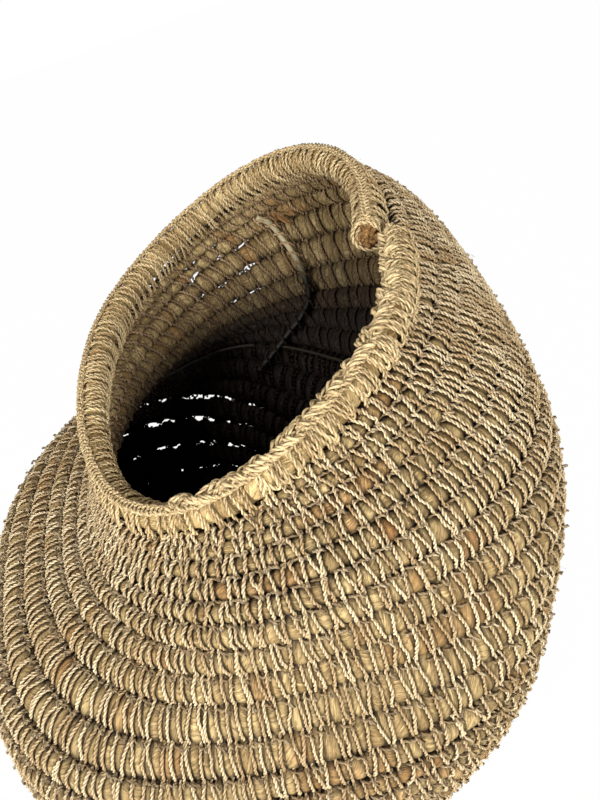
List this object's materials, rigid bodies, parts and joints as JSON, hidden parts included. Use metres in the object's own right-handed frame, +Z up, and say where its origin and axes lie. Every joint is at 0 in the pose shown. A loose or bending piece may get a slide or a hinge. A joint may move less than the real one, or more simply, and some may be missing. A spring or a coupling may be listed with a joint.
{
  "type": "coiled storage basket",
  "caption": "Round-bellied coiled basket of leaf bundles sewn with twine, with a slumped neck, a tilted oval mouth and a wrapped rim.",
  "frame": {"origin": "centre of the bounding box at the level of the surface that the base stands on", "axes": "+Z up, +X to the side that the neck has slumped towards, -Y towards the side that the picture was taken from"},
  "size_m": [0.347, 0.3277, 0.3304],
  "materials": {
    "leaf_core_shaded": "dry leaf, matte",
    "leaf_core": "dry leaf bundle sewn with straw twine, matte",
    "rim_leaf": "brown dry leaf, matte",
    "twine": "two-ply straw twine, matte",
    "cane": "split cane, satin"
  },
  "bodies": {
    "root": {"base_coil": "leaf_core_shaded", "belly_coil": "leaf_core", "shoulder_coil": "leaf_core", "neck_coil": "leaf_core", "short_row_1": "leaf_core", "short_row_2": "leaf_core", "short_row_3": "leaf_core", "rim_core": "rim_leaf", "rim_wrapping": "twine", "inner_rib": "cane", "rib_lashing_1": "twine", "rib_lashing_2": "twine", "rib_lashing_3": "twine", "rib_lashing_4": "twine", "throat_hoop": "cane"}
  },
  "joints": []
}
